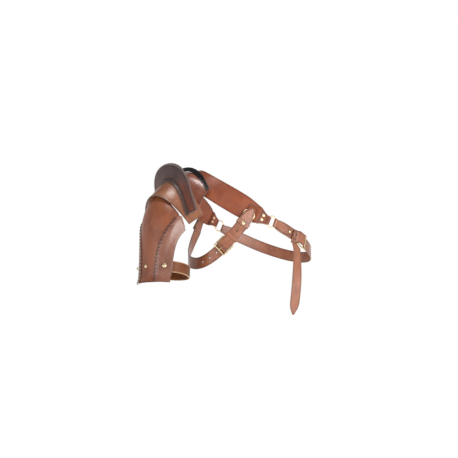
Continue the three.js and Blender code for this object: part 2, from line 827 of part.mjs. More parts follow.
addPiece(
  pauldron,
  'right_chape',
  cut(strip(rightWay, rightChape, STRAP_WALL, (i) => byRing(rightChape[i].s, STRAP_WIDTH), 2), [
    eyeSlot(rightBuckle),
    ...frameSpace(rightBuckle),
    ...ringSpaces('ring_side_front'),
  ]),
  leatherMaterial(COLOURS.strap),
);

// Right billet: from the rear ring under the arm, through the buckle, to its tip over the ring
const billetSeat = chapeTop + layer;
const frontBar = RIGHT_BUCKLE_AT + halfBuckle;
const overHeel = heelHeight + barLoopRadius + layer;
const rightTipHeight = sideRingHeight + loopRadius + layer;
const rearLoop = (end, ringHeight, landing) => [
  ...keyed([
    [end - ringRadius - REAR_FOLD, landing + layer],
    [end - ringRadius - 12, landing + layer],
    [end - ringRadius, ringHeight + loopRadius],
    [end - ringRadius + strapSag, ringHeight + loopRadius],
  ]),
  ...turn(end - ringRadius + strapSag, ringHeight, loopRadius, 90, -90).slice(1),
];
const rightBillet = [
  ...rearLoop(rightEnd, sideRingHeight, onPanel),
  ...keyed([
    [rightEnd - ringRadius, onPanel],
    [rightEnd - panelClear, onPanel],
    [rightEnd - panelClear - 14, low],
    [frontBar - BUCKLE_BAR / 2 - 1, low],
    [frontBar - BUCKLE_BAR / 2 - 13, overHeel],
    [rightHeel - 2, overHeel],
    [rightHeel - 8, billetSeat],
    [panelClear + 16, billetSeat],
    [panelClear, rightTipHeight],
    [-RIGHT_TIP_OVER, rightTipHeight],
  ]).slice(1),
];
// Punched holes of a strap
function punch(way, from, pitch, count, height) {
  const tools = [];
  for (let i = 0; i < count; i++) {
    const at = way.lay(from + i * pitch, 0, height);
    tools.push(pin(HOLE_RADIUS, 3 * STRAP_WALL, at, way.frame(from + i * pitch).n));
  }
  return tools;
}

// A keeper: a band over the strap whose feet lie under the layer that it holds
function keeperGeometry(way, at, under, over) {
  const y = STRAP_WIDTH / 2 + 2 * GAP;
  const foot = y - KEEPER_FOOT;
  const outline = new THREE.Shape();
  outline.moveTo(foot, under);
  outline.lineTo(y, under);
  for (let i = 0; i <= 4; i++) outline.lineTo(lerp(y, -y, i / 4), over);
  outline.lineTo(-y, under);
  outline.lineTo(-foot, under);
  outline.lineTo(-foot, under - KEEPER_WALL);
  outline.lineTo(-y - KEEPER_WALL, under - KEEPER_WALL);
  for (let i = 0; i <= 4; i++) {
    outline.lineTo(lerp(-1, 1, i / 4) * (y + KEEPER_WALL), over + KEEPER_WALL);
  }
  outline.lineTo(y + KEEPER_WALL, under - KEEPER_WALL);
  outline.lineTo(foot, under - KEEPER_WALL);
  outline.closePath();
  const options = { depth: KEEPER_LENGTH, bevelEnabled: false };
  const geometry = new THREE.ExtrudeGeometry(outline, options);
  const p = geometry.attributes.position;
  for (let i = 0; i < p.count; i++) {
    const q = way.lay(at + p.getZ(i) - KEEPER_LENGTH / 2, p.getX(i), p.getY(i));
    p.setXYZ(i, q.x, q.y, q.z);
  }
  return outward(geometry);
}

const half = STRAP_WALL / 2;
addPiece(
  pauldron,
  'right_keeper',
  keeperGeometry(rightWay, RIGHT_KEEPER_AT, chapeTop - half - FACET_ROOM - GAP, billetSeat + half + GAP),
  leatherMaterial(COLOURS.strap),
);
const keeperTop = rightTipHeight + half + GAP + KEEPER_WALL;
const keeperRivet = rightWay.lay(RIVET_KEEPER_AT, 0, keeperTop);
const keeperAxis = rightWay.frame(RIVET_KEEPER_AT).n;
const keeperGrip = KEEPER_WALL + GAP + STRAP_WALL;
const keeperHole = shankHole(keeperRivet, keeperAxis, keeperGrip);
const rivetKeeper = keeperGeometry(
  rightWay,
  RIVET_KEEPER_AT,
  onPanel + keeperRoom + layer - half - FACET_ROOM - GAP,
  rightTipHeight + half + GAP,
);
addPiece(pauldron, 'rivet_keeper', cut(rivetKeeper, [keeperHole]), leatherMaterial(COLOURS.strap));
addRivet(pauldron, 'keeper_rivet', RIVET_RADIUS, keeperGrip, keeperRivet, keeperAxis);
function rightWidth({ s }) {
  const tip = clamp((s + RIGHT_TIP_OVER) / TIP_LENGTH, 0.12, 1);
  return tip * byRing(rightEnd - s, STRAP_WIDTH);
}
addPiece(
  pauldron,
  'right_billet',
  cut(
    strip(rightWay, rightBillet, STRAP_WALL, (i) => rightWidth(rightBillet[i]), 2),
    [
      keeperHole,
      prongSlot(rightBuckle),
      ...frameSpace(rightBuckle),
      ...ringSpaces('ring_side_rear'),
      ...punch(rightWay, frontBar + RIGHT_HOLES_FROM, RIGHT_HOLE_PITCH, 3, low),
      ...punch(rightWay, RIGHT_HOLE_AT, 0, 1, billetSeat),
    ],
  ),
  leatherMaterial(COLOURS.strap),
);

// Left chape: a riveted tongue over the ring end, then on to the buckle's heel bar
const leftHeel = LEFT_BUCKLE_AT - halfBuckle;
const leftChape = [
  ...keyed([
    [TONGUE_END_AT, low + layer],
    [ringRadius + 10, low + layer],
    [ringRadius, leftRingHeight + loopRadius],
    [ringRadius - strapSag, leftRingHeight + loopRadius],
  ]),
  ...turn(ringRadius - strapSag, leftRingHeight, loopRadius, 90, 270).slice(1),
  ...keyed([
    [ringRadius + 1, low],
    [leftHeel, low],
  ]).slice(1),
  ...turn(leftHeel, heelHeight, barLoopRadius, -90, 90).slice(1),
  ...keyed([
    [leftHeel - 1, heelHeight + barLoopRadius],
    [leftHeel - 9, low + layer],
    [leftHeel - HEEL_FOLD, low + layer],
  ]).slice(1),
];
const tongueCount = leftChape.findIndex((p) => p.s < ringRadius - strapSag);
const leftChapeWidth = (i) => {
  const { s, h } = leftChape[i];
  if (i < tongueCount) {
    return byRing(s, TONGUE_WIDTH) * Math.sqrt(clamp((TONGUE_END_AT - s) / 9, 0.15, 1));
  }
  return h > heelHeight && s < leftHeel ? TONGUE_WIDTH : byRing(s, STRAP_WIDTH);
};
const leftBuckle = addBuckle('left_buckle', leftWay, leftHeel, heelHeight);
const tongueTop = low + layer + half;
const tongueRivet = leftWay.lay(TONGUE_END_AT - TONGUE_RIVET_INSET, 0, tongueTop);
const tongueAxis = leftWay.frame(TONGUE_END_AT - TONGUE_RIVET_INSET).n;
const tongueGrip = 2 * STRAP_WALL + GAP;
addPiece(
  pauldron,
  'left_chape',
  cut(strip(leftWay, leftChape, STRAP_WALL, leftChapeWidth, 2), [
    eyeSlot(leftBuckle),
    ...frameSpace(leftBuckle),
    ...ringSpaces('ring_front'),
    shankHole(tongueRivet, tongueAxis, tongueGrip),
  ]),
  leatherMaterial(COLOURS.strap),
);
addRivet(pauldron, 'tongue_rivet', RIVET_RADIUS, tongueGrip, tongueRivet, tongueAxis);

// Left billet: from the rear ring under the arm, through the buckle, its end folded over the chape
const leftFront = leftHeel + 2 * halfBuckle;
const foldHeight = low + 2 * layer + GAP + 2 * FACET_ROOM;
const leftBillet = [
  ...rearLoop(leftEnd, leftRingHeight, low),
  ...keyed([
    [leftEnd - ringRadius, low],
    [leftFront - BUCKLE_BAR / 2 - 1, low],
    [leftFront - BUCKLE_BAR / 2 - 13, overHeel],
    [leftHeel - 4, overHeel],
    [leftHeel - 16, foldHeight],
    [FOLD_END_AT + 5, foldHeight],
    [FOLD_END_AT, low + layer + 1],
  ]).slice(1),
];
const foldShare = (s) => smoothstep(leftHeel - 3 - s, 0, leftHeel - 3 - FOLD_END_AT);
const billetStrip = strip(
  leftWay,
  leftBillet,
  STRAP_WALL,
  (i) => byRing(leftEnd - leftBillet[i].s, STRAP_WIDTH) * (1 + FOLD_SPREAD * foldShare(leftBillet[i].s)),
  2,
  (i) => FOLD_DROP * foldShare(leftBillet[i].s),
);

// The free end hangs from behind the fold, turning to face the front
function tailGeometry() {
  const top = leftWay.lay(TAIL_TOP_AT, TAIL_INSET, foldHeight - GAP);
  const edge = leftWay.lay(TAIL_TOP_AT + 3, TAIL_INSET + 8, foldHeight - GAP);
  const below = leftWay.lay(TAIL_AT, TAIL_INSET + 8, foldHeight - GAP);
  const rows = 14;
  const inner = [];
  const outer = [];
  const middle = (share) => {
    const p = below.clone();
    p.z -= TAIL_DROP * share;
    p.x -= TAIL_LEAN * share * share;
    p.y -= TAIL_BOW * Math.sin(share * Math.PI);
    return p;
  };
  for (let i = -1; i <= rows; i++) {
    const share = Math.max(i, 0) / rows;
    const p = i > 0 ? middle(share) : [top, edge][i + 1];
    const facing = radians(lerp(TAIL_TURN, 0, smoothstep(share, 0, 0.6)));
    const side = vec(Math.cos(facing), Math.sin(facing), 0);
    const out = vec(Math.sin(facing), -Math.cos(facing), 0);
    const left = TAIL_DROP * (1 - share);
    const width = i > 0 ? STRAP_WIDTH * clamp(left / TIP_LENGTH, 0.12, 1) : TAIL_TOP_WIDTH;
    const wall = i < 1 ? STRAP_WALL - 0.3 : STRAP_WALL;
    const pair = (depth) =>
      [-0.5, 0.5].map((k) => p.clone().addScaledVector(side, k * width).addScaledVector(out, depth));
    inner.push(pair(-wall / 2));
    outer.push(pair(wall / 2));
  }
  return shell(inner, outer);
}

const leftBilletGeometry = cut(join(billetStrip, tailGeometry()), [
  prongSlot(leftBuckle),
  ...frameSpace(leftBuckle),
  ...ringSpaces('ring_rear'),
  ...punch(leftWay, FOLD_HOLE_AT, 0, 1, foldHeight),
]);
addPiece(pauldron, 'left_billet', leftBilletGeometry, leatherMaterial(COLOURS.strap));

// Arm plate: a round wall along the arm, closing like a dome towards the shoulder
const arm = new THREE.Group();
arm.position.set(ARM_X, ARM_Y, ARM_Z);
arm.rotation.set(radians(ARM_TILT_FRONT), radians(-ARM_TILT_OUT), radians(180 + SHOULDER_TURN), 'ZYX');
pauldron.add(arm);

// A place on the plate: angle from its middle line to the front, height over the dome's foot
function onArm(angle, height, off) {
  const domeOut = Math.sqrt(1 - (Math.max(height, 0) / DOME_HEIGHT) ** 2);
  const domeSide = Math.sqrt(1 - (Math.max(height, 0) / DOME_SIDE_HEIGHT) ** 2);
  const flare = PLATE_FLARE * smoothstep(PLATE_BOTTOM + FLARE_HEIGHT - height, 0, FLARE_HEIGHT);
  const out = Math.cos(radians(angle));
  const side = Math.sin(radians(angle));
  const reachOut = ARM_RADIUS * domeOut + flare;
  const reachSide = ARM_RADIUS * domeSide + flare;
  const steep = Math.max(height, 0) * (ARM_RADIUS / DOME_HEIGHT) * (domeOut / DOME_HEIGHT);
  const n = vec(out * reachSide, side * reachOut, steep * domeSide * ARM_RADIUS * 2).normalize();
  return vec(out * reachOut, side * reachSide, height).addScaledVector(n, off);
}

const perDegree = radians(1) * ARM_RADIUS;
function seamAngle(height) {
  const share = (height - PLATE_BOTTOM) / (SIDE_TOP - PLATE_BOTTOM);
  return lerp(SEAM_ANGLE_BOTTOM, SEAM_ANGLE_TOP, share ** SEAM_CURVE);
}
function edgeAngle(height) {
  if (height > CORNER_HEIGHT) {
    return lerp(EDGE_ANGLE_CORNER, EDGE_ANGLE_TOP, (height - CORNER_HEIGHT) / (SIDE_TOP - CORNER_HEIGHT));
  }
  const share = (height - PLATE_BOTTOM) / (CORNER_HEIGHT - PLATE_BOTTOM);
  const swing = EDGE_LINEAR * share + (1 - EDGE_LINEAR) * share ** EDGE_CURVE;
  return lerp(EDGE_ANGLE_BOTTOM, EDGE_ANGLE_CORNER, swing);
}

const lapAngle = SEAM_LAP / perDegree;
function centreHalf(height) {
  if (height < SIDE_TOP) return seamAngle(height) + lapAngle;
  const share = (height - SIDE_TOP) / (PLATE_TOP - SIDE_TOP);
  return lerp(SEAM_ANGLE_TOP + lapAngle, TOP_HALF_ANGLE, share);
}
const centrePanel = sheet(PLATE_ROWS, 10, PLATE_WALL, (u, v) => {
  const height = lerp(PLATE_TOP, PLATE_BOTTOM, u);
  return onArm(lerp(-1, 1, v) * centreHalf(height), height, 0);
});
const strapHeight = (angle) => ARM_STRAP_HEIGHT + ARM_STRAP_RISE * Math.cos(radians(angle));
const armRivets = [];
for (const [name, angle] of [
  ['arm_rivet_middle', ARM_RIVET_TURN],
  ['arm_rivet_front', ARM_RIVET_TURN + ARM_RIVET_ANGLE],
  ['arm_rivet_rear', ARM_RIVET_TURN - ARM_RIVET_ANGLE],
]) {
  const lift = angle === ARM_RIVET_TURN ? 0 : PLATE_WALL + GAP;
  const seat = onArm(angle, strapHeight(angle), PLATE_WALL + lift);
  const axis = vec(Math.cos(radians(angle)), Math.sin(radians(angle)), 0);
  const grip = STRAP_WALL + GAP + PLATE_WALL + lift;
  armRivets.push({ name, seat, axis, grip, hole: shankHole(seat, axis, grip) });
}
const [middleRivet, frontRivet, rearRivet] = armRivets;
addPiece(
  arm,
  'arm_plate_centre',
  cut(centrePanel, armRivets.map((r) => r.hole)),
  leatherMaterial(COLOURS.plate),
);
for (const [name, sign, rivet] of [
  ['arm_plate_front', 1, frontRivet],
  ['arm_plate_rear', -1, rearRivet],
]) {
  const side = sheet(
    PLATE_ROWS - 3,
    6,
    PLATE_WALL,
    (u, v) => {
      const height = lerp(SIDE_TOP, PLATE_BOTTOM, u);
      const from = seamAngle(height);
      const to = Math.max(edgeAngle(height), from + 3);
      const angle = lerp(from, to, v);
      const past = (angle - from) * perDegree - SEAM_LAP;
      const lift = (PLATE_WALL + GAP) * (1 - smoothstep(past, 4, SEAM_LAP + 2));
      return onArm(sign * angle, height, lift);
    },
    sign,
  );
  addPiece(arm, name, cut(side, [rivet.hole]), leatherMaterial(COLOURS.sidePlate));
}
for (const r of armRivets) addRivet(arm, r.name, ARM_RIVET_RADIUS, r.grip, r.seat, r.axis);

// Arm strap: a whole loop inside the plate
function bandGrid(off) {
  const rows = [];
  for (let i = 0; i < ARM_STRAP_STEPS; i++) {
    const angle = lerp(-180, 180, i / ARM_STRAP_STEPS);
    const inset = ARM_STRAP_INSET * smoothstep(Math.abs(angle), EDGE_ANGLE_BOTTOM, 120);
    const middle = strapHeight(angle);
    rows.push([-0.5, 0.5].map((k) => onArm(angle, middle + k * ARM_STRAP_WIDTH, off - inset)));
  }
  return rows;
}
const band = outward(shell(bandGrid(-GAP - STRAP_WALL), bandGrid(-GAP), true));
addPiece(
  arm,
  'arm_strap',
  cut(band, armRivets.map((r) => r.hole)),
  leatherMaterial(COLOURS.armStrap),
);

// Lames, in a frame turned to the front: X to the arm's side, Y to the front
const shoulder = new THREE.Group();
shoulder.position.set(SHOULDER_X, SHOULDER_Y, SHOULDER_Z);
shoulder.rotation.z = radians(180 + SHOULDER_TURN);
pauldron.add(shoulder);

// An arch from the rear end (w = -1) over its top (w = 0) to the front end (w = 1)
function onArch(arch, w) {
  const bow = (x) => 1 - Math.sqrt(1 - (arch.round * x) ** 2);
  const share = bow(w) / bow(1);
  return vec(arch.out - arch.sweep * share, arch.span * w, arch.top - arch.drop * share);
}

// A lame between two arches, from its inner edge (k = 0) to its outer one (k = 1)
function onLame(lame, w, k, off) {
  const flat = (x, y) => onArch(lame.inner, x).lerp(onArch(lame.outer, x), y);
  const d = 1e-3;
  const dw = flat(Math.min(w + d, 1), k).sub(flat(Math.max(w - d, -1), k));
  const dk = flat(w, k + d).sub(flat(w, k - d));
  const n = dk.cross(dw).normalize();
  if (n.z + n.x < 0) n.negate();
  const swell = lame.swell * lame.form(k) + lame.lip * smoothstep(k, 1 - LIP_SHARE, 1);
  return flat(w, k).addScaledVector(n, swell + off);
}

const lowerLame = {
  inner: LOWER_LAME_INNER,
  outer: LOWER_LAME_OUTER,
  swell: LAME_SWELL,
  form: (k) => 4 * k * (1 - k),
  lip: LIP_OUT,
};
const upperLame = {
  inner: UPPER_LAME_INNER,
  outer: UPPER_LAME_OUTER,
  swell: UPPER_LAME_SWELL,
  form: (k) => 6.75 * k * (1 - k) ** 2,
  lip: 0,
};

function lameGeometry(lame) {
  const grid = (off) => {
    const rows = [];
    for (let i = 0; i <= LAME_STEPS; i++) {
      const row = [];
      const w = lerp(-1, 1, i / LAME_STEPS);
      for (let j = 0; j <= LAME_COLUMNS; j++) row.push(onLame(lame, w, j / LAME_COLUMNS, off));
      rows.push(row);
    }
    return rows;
  };
  return shell(grid(0), grid(LAME_WALL));
}

addPiece(shoulder, 'lame_lower', lameGeometry(lowerLame), leatherMaterial(COLOURS.lowerLame));
addPiece(shoulder, 'lame_upper', lameGeometry(upperLame), leatherMaterial(COLOURS.upperLame));

// A standing flange square to its own line, with a foot on its lame
function flangeGeometry(lame, options) {
  const seatAt = (w) => onLame(lame, w, options.share(w / options.reach), LAME_WALL + GAP + FACET_ROOM);
  const inner = [];
  const outer = [];
  for (let i = 0; i <= LAME_STEPS; i++) {
    const w = lerp(-options.reach, options.reach, i / LAME_STEPS);
    const k = options.share(w / options.reach);
    const seat = seatAt(w);
    const toe = onLame(lame, w, k + options.footShare(w), LAME_WALL + GAP + FACET_ROOM);
    const across = toe.clone().sub(seat).normalize();
    const up = onLame(lame, w, k, 1).sub(onLame(lame, w, k, 0)).normalize();
    const along = seatAt(w + 0.01).sub(seatAt(w - 0.01));
    const rise = vec(0, -along.z, along.y).setLength(options.height(w / options.reach));
    const wall = across.clone().multiplyScalar(options.wall);
    const toeTop = toe.clone().addScaledVector(up, options.footWall);
    const bend = seat.clone().add(wall).addScaledVector(up, options.footWall);
    const rim = seat.clone().add(rise);
    const middle = seat.clone().addScaledVector(rise, 0.5);
    inner.push([toe, seat, middle, rim]);
    outer.push([toeTop, bend, middle.clone().add(wall), rim.clone().add(wall)]);
  }
  return shell(inner, outer);
}

const footShare = (lame, width) => (w) => {
  const across = onArch(lame.inner, w).distanceTo(onArch(lame.outer, w));
  return width / across;
};
const tallFlange = flangeGeometry(lowerLame, {
  reach: FLANGE_REACH,
  share: (at) => lerp(FLANGE_SHARE, at > 0 ? FLANGE_END_SHARE : FLANGE_REAR_SHARE, at * at),
  footShare: footShare(lowerLame, FLANGE_FOOT_WIDTH),
  footWall: FLANGE_FOOT_WALL,
  wall: FLANGE_WALL,
  height: (at) =>
    lerp(FLANGE_HEIGHT, at > 0 ? FLANGE_SIDE_HEIGHT : FLANGE_REAR_HEIGHT, smoothstep(at * at, 0, 0.64)),
});
addPiece(shoulder, 'flange_tall', tallFlange, leatherMaterial(COLOURS.flange));
const lowFlange = flangeGeometry(upperLame, {
  reach: 1,
  share: () => 0.03,
  footShare: footShare(upperLame, LOW_FLANGE_FOOT),
  footWall: 1.5,
  wall: 3,
  height: (at) => lerp(LOW_FLANGE_HEIGHT, LOW_FLANGE_END_HEIGHT, at * at),
});
addPiece(shoulder, 'flange_low', lowFlange, leatherMaterial(COLOURS.lowFlange));

// Hanger: a hidden strip from on top of the panel, under both lames, into the dome of the plate
shoulder.updateMatrix();
arm.updateMatrix();
function hangerKeys(y) {
  const onPanelTop = (x) => {
    const p = vec(x, y, UPPER_LAME_INNER.top).applyMatrix4(shoulder.matrix);
    return onBody(p, LIE + PANEL_WALL + GAP + 7 * FACET_ROOM);
  };
  const underLame = (lame, k) => {
    const span = lerp(lame.inner.span, lame.outer.span, k);
    return onLame(lame, y / span, k, -GAP - FACET_ROOM - HANGER_WALL).applyMatrix4(shoulder.matrix);
  };
  const onDome = (height) => {
    const reach = ARM_RADIUS * Math.sqrt(1 - (height / DOME_SIDE_HEIGHT) ** 2);
    const angle = THREE.MathUtils.radToDeg(Math.asin(y / reach));
    return onArm(angle, height, -2 * GAP - 2 * FACET_ROOM - HANGER_WALL).applyMatrix4(arm.matrix);
  };
  return [
    onPanelTop(HANGER_FROM),
    onPanelTop(HANGER_FROM + 6),
    underLame(upperLame, 0.6),
    underLame(upperLame, 0.85),
    underLame(upperLame, 1),
    underLame(lowerLame, 0.5),
    underLame(lowerLame, 0.6),
    onDome(PLATE_TOP - 6),
    onDome(PLATE_TOP - HANGER_LAP),
  ];
}
const hangerCurves = [-0.5, 0, 0.5].map(
  (k) => new THREE.CatmullRomCurve3(hangerKeys(k * HANGER_WIDTH), false, 'centripetal'),
);
function hangerPlace(u, v) {
  const [a, b, c] = hangerCurves.map((curve) => curve.getPoint(u));
  return v < 0.5 ? a.lerp(b, 2 * v) : b.lerp(c, 2 * v - 1);
}
addPiece(pauldron, 'hanger', sheet(HANGER_STEPS, 2, HANGER_WALL, hangerPlace, -1), leatherMaterial(COLOURS.strap));

// The origin goes to the seat: the body under the panel's middle, on top of the shoulder
const part = new THREE.Group();
pauldron.position.copy(panelWay.lay(panelWay.length / 2, 0, 0)).negate();
part.add(pauldron);

export default part;
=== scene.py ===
import json
import math

import bmesh
import bpy
import numpy as np
from mathutils import Euler, Matrix, Vector
from mathutils.bvhtree import BVHTree
from mathutils.kdtree import KDTree


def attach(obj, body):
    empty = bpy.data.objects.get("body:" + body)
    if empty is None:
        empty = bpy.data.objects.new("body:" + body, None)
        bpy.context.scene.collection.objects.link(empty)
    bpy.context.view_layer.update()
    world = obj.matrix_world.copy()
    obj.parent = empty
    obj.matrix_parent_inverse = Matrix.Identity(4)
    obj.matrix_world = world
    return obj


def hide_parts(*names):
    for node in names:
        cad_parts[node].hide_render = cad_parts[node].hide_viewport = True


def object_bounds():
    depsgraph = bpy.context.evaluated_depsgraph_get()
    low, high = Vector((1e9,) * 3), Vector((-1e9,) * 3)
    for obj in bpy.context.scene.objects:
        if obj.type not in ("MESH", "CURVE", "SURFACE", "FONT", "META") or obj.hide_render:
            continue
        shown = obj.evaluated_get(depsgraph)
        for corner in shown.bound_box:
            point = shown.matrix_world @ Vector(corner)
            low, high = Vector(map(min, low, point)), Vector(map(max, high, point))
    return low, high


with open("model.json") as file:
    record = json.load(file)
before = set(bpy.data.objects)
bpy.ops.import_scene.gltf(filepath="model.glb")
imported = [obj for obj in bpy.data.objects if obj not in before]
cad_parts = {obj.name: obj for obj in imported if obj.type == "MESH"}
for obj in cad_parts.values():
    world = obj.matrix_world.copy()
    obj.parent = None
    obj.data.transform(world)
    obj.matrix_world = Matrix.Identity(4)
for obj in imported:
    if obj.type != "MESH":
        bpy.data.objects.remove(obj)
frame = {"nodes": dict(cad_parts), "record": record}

# A leather shoulder armour with its chest harness. Metres, in the frame of the solids.
CAD_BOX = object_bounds()
NODES = frame["nodes"]

# Camera, at the photograph's viewing angle
AZIMUTH = math.radians(-33)
ELEVATION = math.radians(-4)
DISTANCE = 2.8
FOCAL_PIXELS = 968.9
IMAGE_WIDTH = 458
SENSOR = 36.0
AIM_RIGHT = -0.0621
AIM_UP = -0.1127
CLIP = (0.05, 60)
ORIGIN = Vector((0.191, -0.00261, -0.02225))  # the middle of the chest in this frame

# Meshes, in metres
WELD = 1e-6
JOIN_FLATNESS = math.radians(20)
JOIN_SQUARENESS = math.radians(50)
SHARP_ANGLE = math.radians(38)
EDGE_ROUND = 0.0007
BUCKLE_ROUND = 0.0009
THICKEST = 0.0062  # more leather than this behind a face makes it a cut edge
HOLE_LOOP = 0.03  # a closed edge shorter than this is a hole's
LONG_SHARE = 0.35  # an edge loop shorter than this share of the longest isn't part of the outline
BAND = 0.0055  # beside the outline, where the mesh is finer
CELL = 0.0026  # longest edge in that band
FINER_ROUNDS = 3
TRACE_STEP = 0.0006  # between the points that distances are measured from

# Leather, in metres and in noise cells for each metre
RAGGED = 0.0022
# The dark band along the outlines: burnished dye with painted edge shade
BURNISH_AND_SHADE = (0.0032, 0.0003)
HOLE_SHADE = (0.0022, 0.0004)
RUBBED = (0.0011, 0.0)
CLOUDS, PATCHES, SPECKS, SCUFFS = 17, 60, 420, 170
PORES, WRINKLES, LUMPS = 950, 240, 45


def make_camera():
    """The camera, from its angles, distance and framing."""
    az, el = AZIMUTH, ELEVATION
    back = Vector((math.sin(az) * math.cos(el), -math.cos(az) * math.cos(el), math.sin(el)))
    right = Vector((math.cos(az), math.sin(az), 0))
    up = back.cross(right)
    data = bpy.data.cameras.new("camera")
    data.sensor_width = SENSOR
    data.lens = FOCAL_PIXELS * SENSOR / IMAGE_WIDTH
    data.clip_start, data.clip_end = CLIP
    camera = bpy.data.objects.new("camera", data)
    bpy.context.scene.collection.objects.link(camera)
    place = ORIGIN + right * AIM_RIGHT + up * AIM_UP + back * DISTANCE
    turn = Matrix((right, up, back)).transposed().to_4x4()
    camera.matrix_world = Matrix.Translation(place) @ turn
    bpy.context.scene.camera = camera


make_camera()


# Node helpers
def new_material(name):
    material = bpy.data.materials.new(name)
    material.use_nodes = True
    tree = material.node_tree
    tree.nodes.clear()
    out = tree.nodes.new("ShaderNodeOutputMaterial")
    shader = tree.nodes.new("ShaderNodeBsdfPrincipled")
    tree.links.new(shader.outputs["BSDF"], out.inputs["Surface"])
    return material, tree, shader


class Net:
    """Short calls that add nodes to one tree and join them."""

    def __init__(self, tree):
        self.tree = tree
        self.coords = tree.nodes.new("ShaderNodeTexCoord").outputs["Object"]

    def feed(self, socket, value):
        if isinstance(value, bpy.types.NodeSocket):
            self.tree.links.new(value, socket)
        else:
            socket.default_value = value

    def noise(self, scale, detail=4, rough=0.55, stretch=None, warp=0.0):
        node = self.tree.nodes.new("ShaderNodeTexNoise")
        node.inputs["Scale"].default_value = scale
        node.inputs["Detail"].default_value = detail
        node.inputs["Roughness"].default_value = rough
        node.inputs["Distortion"].default_value = warp
        source = self.coords
        if stretch:
            mapping = self.tree.nodes.new("ShaderNodeMapping")
            mapping.inputs["Scale"].default_value = stretch
            self.tree.links.new(source, mapping.inputs["Vector"])
            source = mapping.outputs["Vector"]
        self.tree.links.new(source, node.inputs["Vector"])
        return node.outputs["Fac"]

    def cells(self, scale):
        node = self.tree.nodes.new("ShaderNodeTexVoronoi")
        node.inputs["Scale"].default_value = scale
        self.tree.links.new(self.coords, node.inputs["Vector"])
        return node.outputs["Distance"]

    def attribute(self, name):
        node = self.tree.nodes.new("ShaderNodeAttribute")
        node.attribute_name = name
        return node.outputs["Fac"]

    def math(self, kind, a, b=0.0, c=0.0):
        node = self.tree.nodes.new("ShaderNodeMath")
        node.operation = kind
        for socket, value in zip(node.inputs, (a, b, c)):
            self.feed(socket, value)
        return node.outputs[0]

    def span(self, value, low, high, to_low=0.0, to_high=1.0):
        node = self.tree.nodes.new("ShaderNodeMapRange")
        node.interpolation_type = "SMOOTHSTEP"
        for name, v in (("Value", value), ("From Min", low), ("From Max", high)):
            self.feed(node.inputs[name], v)
        node.inputs["To Min"].default_value = to_low
        node.inputs["To Max"].default_value = to_high
        return node.outputs[0]

    def mix(self, share, a, b, kind="MIX"):
        node = self.tree.nodes.new("ShaderNodeMix")
        node.data_type = "RGBA"
        node.blend_type = kind
        self.feed(node.inputs["Factor"], share)
        sockets = [s for s in node.inputs if s.type == "RGBA"]
        for socket, value in zip(sockets, (a, b)):
            self.feed(socket, value if isinstance(value, bpy.types.NodeSocket) else (*value, 1.0))
        return next(s for s in node.outputs if s.type == "RGBA")

    def bump(self, height, strength, distance, below=None):
        node = self.tree.nodes.new("ShaderNodeBump")
        node.inputs["Strength"].default_value = strength
        node.inputs["Distance"].default_value = distance
        self.feed(node.inputs["Height"], height)
        if below is not None:
            self.tree.links.new(below, node.inputs["Normal"])
        return node.outputs["Normal"]


